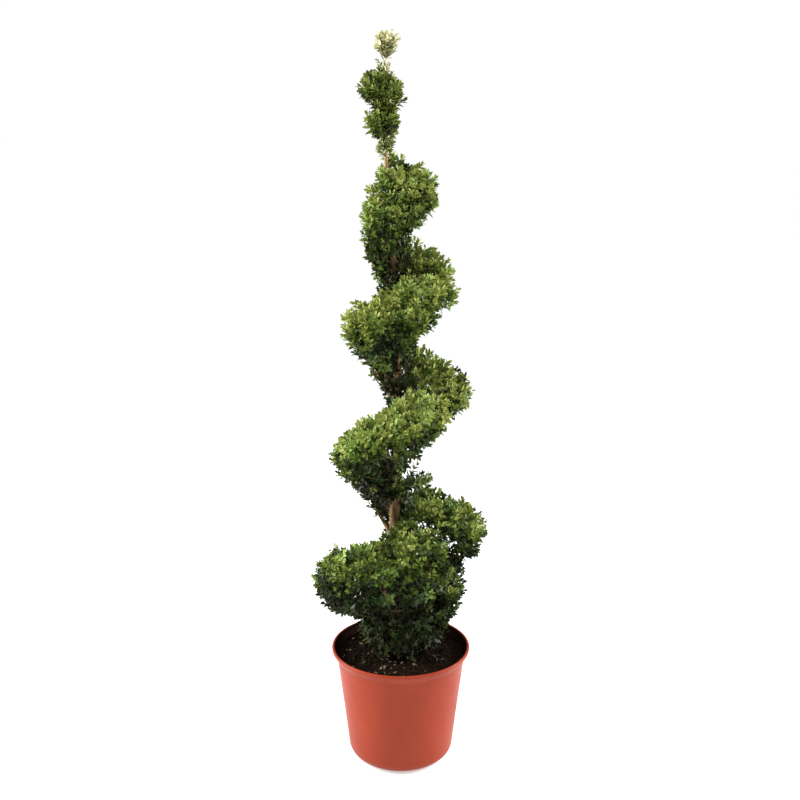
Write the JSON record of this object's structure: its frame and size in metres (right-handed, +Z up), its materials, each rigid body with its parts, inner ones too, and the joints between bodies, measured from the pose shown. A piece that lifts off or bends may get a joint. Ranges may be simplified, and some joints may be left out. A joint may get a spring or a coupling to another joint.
{
  "type": "potted spiral topiary",
  "caption": "Small-leaved evergreen clipped into a tapering spiral round one trunk, growing in a round terracotta-coloured plastic pot.",
  "frame": {"origin": "middle of the pot's flat underside, at mount base", "axes": "+Z up along the plant; -Y is the plant's front, +X to the right seen from the front"},
  "size_m": [0.3503, 0.3407, 1.43],
  "materials": {
    "pot": "satin",
    "soil": "matte",
    "bark": "matte",
    "foliage": "matte",
    "young_foliage": "matte"
  },
  "bodies": {
    "root": {"band_bough_01": "bark", "band_bough_02": "bark", "band_bough_03": "bark", "band_bough_04": "bark", "band_bough_05": "bark", "band_bough_06": "bark", "band_bough_07": "bark", "band_bough_08": "bark", "band_bough_09": "bark", "band_bough_10": "bark", "band_bough_11": "bark", "band_bough_12": "bark", "band_foliage_01": "foliage", "band_foliage_02": "foliage", "band_foliage_03": "foliage", "band_foliage_04": "foliage", "band_foliage_05": "foliage", "band_foliage_06": "foliage", "band_foliage_07": "foliage", "band_foliage_08": "foliage", "band_foliage_09": "foliage", "band_foliage_10": "foliage", "band_foliage_11": "foliage", "band_foliage_12": "foliage", "leader_foliage_high": "young_foliage", "leader_foliage_low": "young_foliage", "pot": "pot", "skirt_bough_01": "bark", "skirt_bough_02": "bark", "skirt_bough_03": "bark", "skirt_bough_04": "bark", "skirt_foliage_01": "foliage", "skirt_foliage_02": "foliage", "skirt_foliage_03": "foliage", "skirt_foliage_04": "foliage", "soil": "soil", "top_tuft": "young_foliage", "trunk": "bark"}
  },
  "joints": []
}
